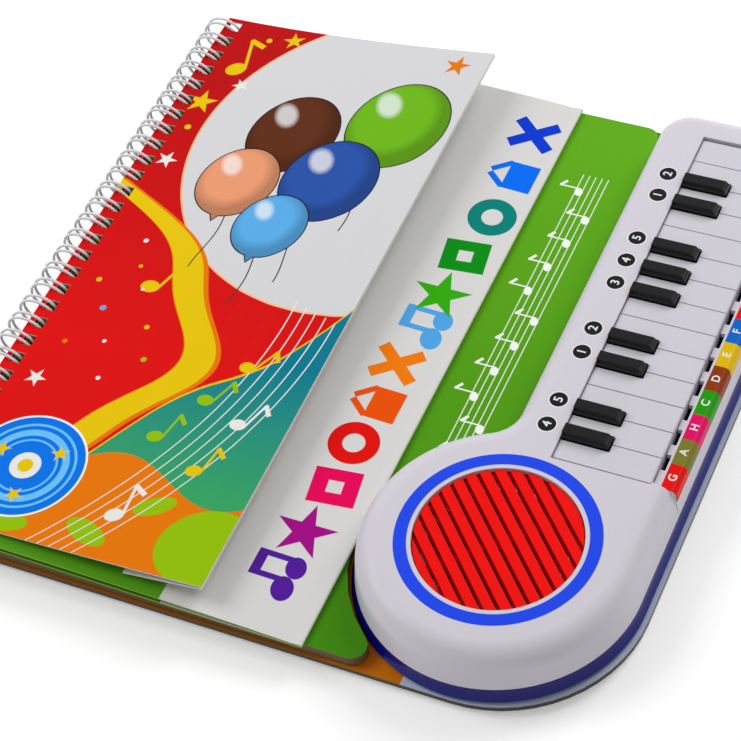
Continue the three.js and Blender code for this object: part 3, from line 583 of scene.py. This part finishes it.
def cover_paint():
    paint = Paint("cover_print", COVER_RED, 0.26)
    x, y, z = paint.place()
    u = x - COVER_MIDDLE[0]
    v = y - COVER_MIDDLE[1]
    colour = cover_fields(paint, u, v)
    band = ribbon(u, v)
    colour = paint.mix((band.abs() - 7.4).inside(0.1), colour, ORANGE)
    colour = paint.mix(((band + 0.8).abs() - 6.2).inside(0.1), colour, YELLOW)
    for line in range(5):
        middle = u - 52 + 4.4 * line + (v + 13) * (v + 13) * 0.0035
        staff = (middle.abs() - 0.22).most(v + 12 - line * 1.5)
        colour = paint.mix(staff.inside(0.08), colour, WHITE)
    colour = cover_balloons(paint, colour, u, v)
    for centre, size, turn, tint in NOTES:
        colour = paint.mix(note(u, v, centre, size, turn).inside(), colour, tint)
    for centre, radius, turn, tint in STARS:
        colour = paint.mix(star(u, v, centre, radius, turn).inside(), colour, tint)
    for centre, radius, tint in DOTS:
        colour = paint.mix(disc(u, v, centre, radius).inside(), colour, tint)
    colour = cover_sticker(paint, colour, u, v)

    share = ((x - COVER_SPINE) / (COVER_EDGE - COVER_SPINE)).most(0.0)
    top = share.math("POWER", COVER_BOW) * COVER_RISE + v * share * share * COVER_TWIST
    flap = (z - top - COVER_SEAT + 0.6).inside(0.05)
    card = paint.facing_up().math("LESS_THAN", 0.2)
    colour = paint.mix(flap.most(card), colour, srgb(226, 224, 218))
    paint.set("Base Color", colour)
    paint.bump(paint.noise(420.0, 2.0), 0.03)
    return paint.material


cover_print = cover_paint()

# %% [markdown]
# The title leaf is a folded card with a white band where the cover stops. A row of coloured
# shapes stands on the band, from purple at the foot to deep blue at the head.

# %% Title leaf print
BAND_LEFT = -103
SPINE_STRIP = -184
TITLE_SHAPES = [
    ("note", (-72.6, -66.1), srgb(84, 26, 156)),
    ("star", (-69.5, -45.7), srgb(166, 8, 136)),
    ("square", (-67.7, -25.7), srgb(238, 0, 92)),
    ("ring", (-69.2, -6.7), srgb(232, 14, 8)),
    ("drum", (-67.9, 11.7), srgb(242, 84, 2)),
    ("cross", (-69.1, 29.8), srgb(248, 126, 4)),
    ("note", (-68.0, 46.6), srgb(80, 168, 236)),
    ("star", (-66.9, 63.9), srgb(50, 174, 6)),
    ("square", (-65.8, 83.5), srgb(0, 144, 16)),
    ("ring", (-63.7, 104.2), srgb(0, 132, 122)),
    ("drum", (-63.4, 125.8), srgb(0, 112, 248)),
    ("cross", (-64.4, 147.7), srgb(4, 58, 212)),
]


def title_motif(x, y, kind, centre):
    """One shape of the title row. Each stands upright for a reader at the fore edge."""
    cx, cy = centre
    if kind == "note":
        head = oval(x, y, (cx + 5.5, cy - 2.5), 7.6, 9.6, 15)
        second = oval(x, y, (cx + 6.5, cy + 6.2), 7.0, 8.6, 15)
        stems = bar(x, y, (cx - 0.5, cy + 0.6), 13, 2.2).least(bar(x, y, (cx, cy + 8.8), 13, 2.2))
        return head.least(second).least(stems).least(bar(x, y, (cx - 6, cy + 4.7), 3.6, 10.4))
    if kind == "star":
        return star(x, y, centre, 11.2, 20)
    if kind == "square":
        outer = bar(x, y, centre, 16.5, 14.5, 8, 1.6)
        return outer.most(-bar(x, y, centre, 5.4, 5.0, 8, 0.8))
    if kind == "ring":
        return disc(x, y, centre, 6.4).abs() - 2.5
    if kind == "drum":
        cup = bar(x, y, (cx + 2.2, cy), 11, 13.5, 0, 2)
        for side, turn in ((3.5, 40), (-3.5, -40)):
            cup = cup.least(bar(x, y, (cx - 6.2, cy + side), 8.5, 2.4, turn))
        return cup
    return bar(x, y, centre, 20, 4.6, 40, 1.2).least(bar(x, y, centre, 20, 4.6, -40, 1.2))


def title_paint():
    paint = Paint("title_print", WHITE, 0.3)
    x, y, _ = paint.place()
    band = (x * -1 + BAND_LEFT).inside(0.06)
    colour = paint.mix(band, srgb(86, 158, 24), srgb(222, 221, 219))
    colour = paint.mix((x - SPINE_STRIP).inside(0.3), colour, srgb(176, 10, 12))
    for kind, centre, tint in TITLE_SHAPES:
        colour = paint.mix(title_motif(x, y, kind, centre).inside(), colour, tint)
    up = paint.facing_up()
    colour = paint.mix(up.math("LESS_THAN", -0.3), colour, srgb(126, 176, 18))
    colour = paint.mix((up.abs() - 0.3).inside(0.02), colour, srgb(160, 190, 76))
    paint.set("Base Color", colour)
    paint.bump(paint.noise(420.0, 2.0), 0.03)
    return paint.material


title_print = title_paint()

# %% [markdown]
# The board pages show a green face with a staff of white notes, and at their cut edges the grey
# board between printed sheets. The back board is orange beside the speaker, green along the rest
# and pale blue around the unit.

# %% Page print
STAFF_LEFT = -40.5
STAFF_STEP = 2.4
STAFF_LINES = 5
STAFF_MIDDLE = 52
STAFF_HALF = 84
STAFF_NOTES = 13
NOTE_STEP = 12.6
SHEET = 1.03
ORANGE_END = 60
BLUE_START = -19.2


def page_paint():
    paint = Paint("page_print", srgb(84, 156, 28), 0.3)
    x, y, z = paint.place()
    # Painted shade: the green darkens toward the foot of the page.
    shade = (y * -0.0042 + 0.62).math("ADD", 0, clamp=True)
    green = paint.mix(shade, srgb(98, 174, 26), srgb(66, 140, 12))
    for line in range(STAFF_LINES):
        across = (x - STAFF_LEFT - STAFF_STEP * line).abs() - 0.2
        staff = across.most((y - STAFF_MIDDLE).abs() - STAFF_HALF)
        green = paint.mix(staff.inside(0.08), green, srgb(232, 240, 224))
    for index in range(STAFF_NOTES):
        tone = (index * 5) % 4
        centre = (STAFF_LEFT + 1.2 + STAFF_STEP * tone, -24 + NOTE_STEP * index)
        green = paint.mix(note(x, y, centre, 3.0, 90).inside(), green, srgb(250, 252, 246))
    layer = (z * (2 * math.pi / SHEET)).sin()
    board = paint.mix(layer.math("GREATER_THAN", 0.35), srgb(112, 94, 74), srgb(66, 62, 62))
    fibre = paint.noise(900.0)
    board = paint.mix(fibre * 0.5, board, srgb(150, 110, 62))
    up = paint.facing_up().math("GREATER_THAN", 0.6)
    paint.set("Base Color", paint.mix(up, board, green))
    paint.bump(fibre, 0.08)
    return paint.material


def board_paint():
    paint = Paint("board_print", srgb(150, 168, 196), 0.3)
    x, y, _ = paint.place()
    blue = paint.mix(paint.noise(30.0, 1.0) * 0.5, srgb(188, 199, 216), srgb(156, 170, 196))
    left = paint.mix((y * -1 + ORANGE_END).inside(0.1), srgb(204, 112, 6), srgb(70, 140, 18))
    printed = paint.mix((x - BLUE_START).inside(0.1), blue, left)
    up = paint.facing_up()
    edge = paint.mix(paint.noise(900.0), srgb(92, 84, 70), srgb(58, 56, 54))
    colour = paint.mix(up.math("GREATER_THAN", 0.6), edge, printed)
    colour = paint.mix(up.math("LESS_THAN", -0.6), colour, srgb(222, 220, 214))
    paint.set("Base Color", colour)
    paint.bump(paint.noise(500.0), 0.05)
    return paint.material


page_print = page_paint()
board_print = board_paint()

# %% [markdown]
# Solids that look right as they are keep their mesh and only take a finish.

# %% Finishes on the solids
FINISHES = {
    "shell": shell_plastic,
    "case_blue": tray_blue,
    "grille": louvre_red,
    "steel": bright_steel,
    "cone": cone_paper,
    "labels": label_print,
    "circuit": circuit_green,
    "contact_rubber": contact_rubber,
    "wire": wire_coat,
    "board": board_print,
    "pages": page_print,
    "title_card": title_print,
    "cover_card": cover_print,
    "white_keys": white_key_plastic,
    "black_keys": black_key_plastic,
}
node_slots = {row["node"]: row["material_slot"] for row in frame["record"]["subparts"]}
node_bodies = {
    node: body for body, nodes in frame["record"]["behaviour"]["bodies"].items() for node in nodes
}


def dress(piece, finish):
    piece.data.materials.clear()
    piece.data.materials.append(finish)


for node_name, node_object in frame["nodes"].items():
    dress(node_object, FINISHES[node_slots[node_name]])
print(len(frame["nodes"]), "solids have a finish")

# %% [markdown]
# The solids are faceted. Round outlines that catch the light are built again here from the same
# sizes with finer steps, and then smooth shading finds the real edges by their angle.


# %% Mesh helpers
def arc(x, y, radius, start, end, steps):
    angles = [math.radians(start + (end - start) * i / steps) for i in range(steps + 1)]
    return [(x + radius * math.cos(a), y + radius * math.sin(a)) for a in angles]


def finish_piece(name, mesh, body, stands_for, smooth_angle=32):
    """Links a mesh as a piece that moves with a body and stands for a solid."""
    mesh.shade_smooth()
    mesh.set_sharp_from_angle(angle=math.radians(smooth_angle))
    piece = bpy.data.objects.new(name, mesh)
    bpy.context.scene.collection.objects.link(piece)
    dress(piece, FINISHES[node_slots[stands_for]])
    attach(piece, body)
    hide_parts(stands_for)
    return piece


def loft(levels):
    """A closed skin over outlines that have as many points each: [(points, z), ...]."""
    mesh = bmesh.new()
    rings = [[mesh.verts.new(at(x, y, z)) for x, y in points] for points, z in levels]
    count = len(rings[0])
    for lower, upper in zip(rings, rings[1:]):
        for i in range(count):
            j = (i + 1) % count
            mesh.faces.new((lower[i], lower[j], upper[j], upper[i]))
    mesh.faces.new(rings[0][::-1])
    mesh.faces.new(rings[-1])
    return mesh


def boxes(extents):
    """Several boxes in one mesh, each (x0, x1, y0, y1, z0, z1)."""
    mesh = bmesh.new()
    for x0, x1, y0, y1, z0, z1 in extents:
        low, high = at(x0, y0, z0), at(x1, y1, z1)
        corners = bmesh.ops.create_cube(mesh, size=1)["verts"]
        bmesh.ops.scale(mesh, vec=high - low, verts=corners)
        bmesh.ops.translate(mesh, vec=(low + high) / 2, verts=corners)
    return mesh


def post(x, y, radius, z0, z1, sides=96):
    return loft([(arc(x, y, radius, 0, 360, sides)[:-1], z) for z in (z0, z1)])


def scratch(mesh):
    data = bpy.data.meshes.new("scratch")
    mesh.to_mesh(data)
    mesh.free()
    data.validate()
    holder = bpy.data.objects.new("scratch", data)
    bpy.context.scene.collection.objects.link(holder)
    return holder


def boolean(base, *steps):
    """Cuts or joins meshes one after another: steps are (operation, mesh)."""
    holder = scratch(base)
    cutters = []
    for operation, mesh in steps:
        cutter = scratch(mesh)
        cutters.append(cutter)
        modifier = holder.modifiers.new(operation, "BOOLEAN")
        modifier.operation = operation
        modifier.solver = "EXACT"
        modifier.object = cutter
    graph = bpy.context.evaluated_depsgraph_get()
    result = bpy.data.meshes.new_from_object(holder.evaluated_get(graph))
    for extra in (holder, *cutters):
        bpy.data.objects.remove(extra)
    return result


def bevelled(mesh, width, segments=2, angle=35):
    """Rounds the edges of a mesh that are sharper than the angle."""
    holder = bpy.data.objects.new("scratch", mesh)
    bpy.context.scene.collection.objects.link(holder)
    modifier = holder.modifiers.new("edges", "BEVEL")
    modifier.width = width * MM
    modifier.segments = segments
    modifier.limit_method = "ANGLE"
    modifier.angle_limit = math.radians(angle)
    modifier.harden_normals = False
    graph = bpy.context.evaluated_depsgraph_get()
    result = bpy.data.meshes.new_from_object(holder.evaluated_get(graph))
    bpy.data.objects.remove(holder)
    return result


# %% [markdown]
# The case outline is a round speaker end, a straight key section and a hollow fillet at the neck.

# %% Case outline
neck_x = CASE_LEFT - NECK
neck_y = SPEAKER[1] + math.sqrt((CASE_RADIUS + NECK) ** 2 - (neck_x - SPEAKER[0]) ** 2)
neck_angle = math.degrees(math.atan2(neck_y - SPEAKER[1], neck_x - SPEAKER[0]))


def case_outline(inset, fine=4):
    low = CASE_TOP - CASE_CORNER
    corner = CASE_CORNER - inset
    return (
        arc(CASE_RIGHT - CASE_CORNER, low, corner, 0, 90, 5 * fine)
        + arc(CASE_LEFT + CASE_CORNER, low, corner, 90, 180, 5 * fine)
        + arc(neck_x, neck_y, NECK + inset, 0, neck_angle - 180, 4 * fine)
        + arc(*SPEAKER, CASE_RADIUS - inset, neck_angle, 360, 30 * fine)[1:]
    )


def shell_levels(inset, edge, top, turns, draft=0.9):
    """Outlines from the seam up a drafted side and over a rounded edge to the top."""
    levels = [(case_outline(inset), SEAM_Z)]
    for i in range(turns + 1):
        angle = math.pi / 2 * i / turns
        drawn_in = inset + draft + edge * (1 - math.cos(angle))
        levels.append((case_outline(drawn_in), top - edge * (1 - math.sin(angle))))
    return levels


# %% [markdown]
# The upper shell: a rounded skin, cut for the key bed and the louvres, with the lower front
# ledge joined on and a row of vent slots before the keys.


# %% Upper shell
def make_shell():
    body = loft(shell_levels(0, SHELL_EDGE, SHELL_TOP, 12))
    beyond = CASE_RIGHT + WALL
    over_bed = boxes([(0, beyond, 0, BED_LENGTH, LEDGE_TOP, SHELL_TOP + WALL)])
    sill_zone = boxes([(BED_FRONT - WALL, beyond, 0, BED_LENGTH, SEAM_Z, SHELL_TOP)])
    sill = boolean(loft(shell_levels(0, SILL_EDGE, LEDGE_TOP, 6)), ("INTERSECT", sill_zone))
    sill_mesh = bmesh.new()
    sill_mesh.from_mesh(sill)
    along = (-WALL, BED_LENGTH + WALL)
    over_ledge = boxes([(BED_FRONT, beyond, *along, LEDGE_TOP - WALL, SHELL_TOP + WALL)])
    inside = loft(shell_levels(WALL, HOLLOW_EDGE, SHELL_TOP - WALL, 4))
    hollow_mesh = bmesh.new()
    hollow_mesh.from_mesh(boolean(inside, ("DIFFERENCE", over_ledge)))
    ends = (-BED_END_GAP, BED_LENGTH + BED_END_GAP)
    bed = boxes([(0, BED_FRONT, *ends, SEAM_Z - WALL, SHELL_TOP + WALL)])
    joints = [key * KEY_PITCH for key in range(1, WHITE_KEYS)]
    depth = (BED_FRONT - WALL, BED_FRONT + SLOT_WIDTH)
    slots = boxes([(*depth, y - SLOT_HALF, y + SLOT_HALF, SEAM_Z, SHELL_TOP) for y in joints])
    mouth = post(*SPEAKER, GRILLE_RADIUS + GRILLE_GAP, SEAM_Z, SHELL_TOP + WALL, 128)
    below = loft([(case_outline(WALL), SEAM_Z - WALL), (case_outline(WALL), SEAM_Z + SEAM_GAP)])
    mesh = boolean(
        body,
        ("DIFFERENCE", over_bed),
        ("UNION", sill_mesh),
        ("DIFFERENCE", hollow_mesh),
        ("DIFFERENCE", below),
        ("DIFFERENCE", bed),
        ("DIFFERENCE", slots),
        ("DIFFERENCE", mouth),
    )
    return finish_piece("shell_skin", mesh, "base", "upper_case")


shell = make_shell()
print("shell", len(shell.data.polygons), "faces")


# %% [markdown]
# The lower tray shows as a dark band under the seam, and flares out toward its rounded foot.

# %% Lower tray
TRAY_FOOT = 1.0
TRAY_ROUND = 0.3
tray_low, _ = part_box("lower_case")


def make_tray():
    low = tray_low[2] / MM
    top = SEAM_Z - SEAM_GAP
    body = loft(
        [
            (case_outline(TRAY_FOOT - TRAY_FLARE), low),
            (case_outline(TRAY_ROUND - TRAY_FLARE), low + TRAY_ROUND),
            (case_outline(-TRAY_FLARE), low + TRAY_FOOT),
            (case_outline(-TRAY_FLARE / 4), (low + top) / 2),
            (case_outline(0), top),
        ]
    )
    inner = loft([(case_outline(WALL), low + WALL), (case_outline(WALL), SEAM_Z + WALL)])
    mesh = boolean(body, ("DIFFERENCE", inner))
    return finish_piece("tray_skin", mesh, "base", "lower_case")


make_tray()


# %% [markdown]
# The twin-loop wire is one length of coated steel bent to hairpins. A curve with a round bevel
# follows the same path as the solid, with finer steps and a slightly smaller loop, so that its
# round outside stays within the faceted one.

# %% Wire comb
LOOP_PITCH = 25.4 / 3
LOOP_COUNT = 30
FIRST_LOOP = 166
SOLID_LOOP_RADIUS = 7.9
LOOP_RADIUS = SOLID_LOOP_RADIUS - 0.3
WIRE_RADIUS = 0.55
TWIN = 2.6
ROOT_ANGLE = 260
TIP_ANGLE = -66
HAIRPIN_ANGLE = TIP_ANGLE - 4
LOOP_STEPS = 30
AXIS_X = -202.9
AXIS_Z = SOLID_LOOP_RADIUS + WIRE_RADIUS + FRAME_SHIFT


def make_wire():
    def on_loop(degrees, y):
        angle = math.radians(degrees)
        return at(AXIS_X + LOOP_RADIUS * math.cos(angle), y, AXIS_Z + LOOP_RADIUS * math.sin(angle))

    swing = (TIP_ANGLE - ROOT_ANGLE) / LOOP_STEPS
    sweep = [ROOT_ANGLE + swing * i for i in range(LOOP_STEPS + 1)]
    points = []
    for loop in range(LOOP_COUNT):
        y = FIRST_LOOP - loop * LOOP_PITCH
        points += [on_loop(angle, y + TWIN / 2) for angle in sweep]
        points.append(on_loop(HAIRPIN_ANGLE, y + TWIN / 4))
        points.append(on_loop(HAIRPIN_ANGLE, y - TWIN / 4))
        points += [on_loop(angle, y - TWIN / 2) for angle in reversed(sweep)]
    curve = bpy.data.curves.new("wire_loops", "CURVE")
    curve.dimensions = "3D"
    curve.bevel_depth = WIRE_RADIUS * MM
    curve.bevel_resolution = 2
    curve.use_fill_caps = True
    spline = curve.splines.new("POLY")
    spline.points.add(len(points) - 1)
    for knot, point in zip(spline.points, points):
        knot.co = (*point, 1)
    spline.use_smooth = True
    piece = bpy.data.objects.new("wire_loops", curve)
    bpy.context.scene.collection.objects.link(piece)
    curve.materials.append(wire_coat)
    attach(piece, "base")
    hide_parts("wire_comb")
    return piece


wire = make_wire()
print("wire points", len(wire.data.splines[0].points))

# %% [markdown]
# The keys keep their solids' shape. A small bevel and smooth shading give them moulded edges.

# %% Keys
WHITE_BEVEL = 0.3
BLACK_BEVEL = 0.35
KEY_SMOOTH_ANGLE = 40


def make_keys():
    for node_name, node_object in frame["nodes"].items():
        if "_key_" not in node_name:
            continue
        width = WHITE_BEVEL if node_name.startswith("white") else BLACK_BEVEL
        mesh = bevelled(node_object.data.copy(), width)
        cap = node_name.replace("key", "keycap")
        finish_piece(cap, mesh, node_bodies[node_name], node_name, KEY_SMOOTH_ANGLE)


make_keys()


# %% [markdown]
# Note names stand on the labels and finger numbers on the black discs. A player at the front of
# the keyboard reads them upright.


# %% Printed letters and numbers
def letter(text, centre, z, size, finish, name):
    curve = bpy.data.curves.new(name, "FONT")
    curve.body = text
    curve.size = size * MM
    curve.extrude = 0.02 * MM
    curve.offset = 0.06 * MM
    curve.align_x = "CENTER"
    curve.align_y = "CENTER"
    piece = bpy.data.objects.new(name, curve)
    bpy.context.scene.collection.objects.link(piece)
    piece.location = at(*centre, z)
    piece.rotation_euler = (0, 0, math.radians(90))
    curve.materials.append(finish)
    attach(piece, "base")
    return piece


ink_white = plain_plastic("ink_white", srgb(244, 244, 246), 0.35)
INK_LIFT = 0.03
LABEL_TOP = LEDGE_TOP + 0.35
LABEL_MIDDLE = BED_FRONT + 5.1
NOTE_SIZE = 3.9
FINGER_SIZE = 4.4
for key in range(WHITE_KEYS):
    piece = letter(
        NOTE_NAMES[key % len(NOTE_NAMES)],
        (LABEL_MIDDLE, (key + 0.5) * KEY_PITCH),
        LABEL_TOP + INK_LIFT,
        NOTE_SIZE,
        ink_white,
        f"note_letter_{key + 1:02d}",
    )
FINGER_ORDER = [4, 5, 1, 2, 3, 4, 5, 1, 2]
for place, shift, finger in zip(DISC_PLACES, DISC_SHIFT, FINGER_ORDER):
    piece = letter(
        str(finger),
        (DISC_X, place * KEY_PITCH + shift),
        SHELL_TOP + INK_LIFT,
        FINGER_SIZE,
        ink_white,
        f"finger_number_{place:02d}",
    )

# %% [markdown]
# A white floor and backdrop, and two large soft lights from the left and from behind, so that the
# sides towards the camera fall into soft shade. Both stand clear of the direction that the flat
# faces would mirror into the camera, which keeps the printed colours deep. The floor glows a
# little for the camera and in reflections, and more with distance, so that it ends in the same
# white as the world, which is dimmer where it lights the book than where it is seen.

# %% Floor and lights
FLOOR_HALF = 3
GLOW_START = 260
GLOW_REACH = 500
FLOOR_GLOW = 0.74
WORLD_LIGHT = 0.4
LAMP_SIZE = 0.7

floor_mesh = bpy.data.meshes.new("floor")
sides = ((-1, -1), (1, -1), (1, 1), (-1, 1))
floor_corners = [(x * FLOOR_HALF, y * FLOOR_HALF, 0) for x, y in sides]
floor_mesh.from_pydata(floor_corners, [], [(0, 1, 2, 3)])
floor = bpy.data.objects.new("floor", floor_mesh)
bpy.context.scene.collection.objects.link(floor)
floor_paint = Paint("floor", srgb(252, 252, 252), 0.9)
camera_ray = floor_paint.node("ShaderNodeLightPath", output="Is Camera Ray")
glossy_ray = floor_paint.node("ShaderNodeLightPath", output="Is Glossy Ray")
floor_x, floor_y, _ = floor_paint.place()
away = disc(floor_x, floor_y, (-BED_X, -BED_Y), GLOW_START) * (1 / GLOW_REACH)
lift = floor_paint.mix(away.math("ADD", 0, clamp=True), (0.3, 0.3, 0.3), (1, 1, 1))
floor_paint.set("Emission Color", floor_paint.mix(camera_ray + glossy_ray, (0, 0, 0), lift))
floor_paint.set("Emission Strength", FLOOR_GLOW)
dress(floor, floor_paint.material)

world = bpy.data.worlds.new("world")
world.use_nodes = True
backdrop = world.node_tree.nodes["Background"]
backdrop.inputs["Color"].default_value = (1, 1, 1, 1)
rays = world.node_tree.nodes.new("ShaderNodeLightPath")
straight = rays.outputs["Is Camera Ray"]
for ray in ("Is Glossy Ray", "Is Transmission Ray"):
    either = world.node_tree.nodes.new("ShaderNodeMath")
    either.operation = "MAXIMUM"
    world.node_tree.links.new(straight, either.inputs[0])
    world.node_tree.links.new(rays.outputs[ray], either.inputs[1])
    straight = either.outputs["Value"]
seen = world.node_tree.nodes.new("ShaderNodeMix")
seen.inputs["A"].default_value = WORLD_LIGHT
seen.inputs["B"].default_value = 1
world.node_tree.links.new(straight, seen.inputs["Factor"])
world.node_tree.links.new(seen.outputs["Result"], backdrop.inputs["Strength"])
bpy.context.scene.world = world


def square_light(name, place, power):
    """A soft light that looks at the middle of the book's footprint."""
    data = bpy.data.lights.new(name, "AREA")
    data.shape = "RECTANGLE"
    data.size = LAMP_SIZE
    data.size_y = LAMP_SIZE
    data.energy = power
    light = bpy.data.objects.new(name, data)
    light.location = place
    light.rotation_euler = (-Vector(place)).to_track_quat("-Z", "Y").to_euler()
    bpy.context.scene.collection.objects.link(light)


square_light("key_light", (-1.0, -0.1, 1.0), 8)
square_light("fill_light", (0.45, 1.0, 0.9), 9)

bpy.context.scene.view_settings.view_transform = "Standard"
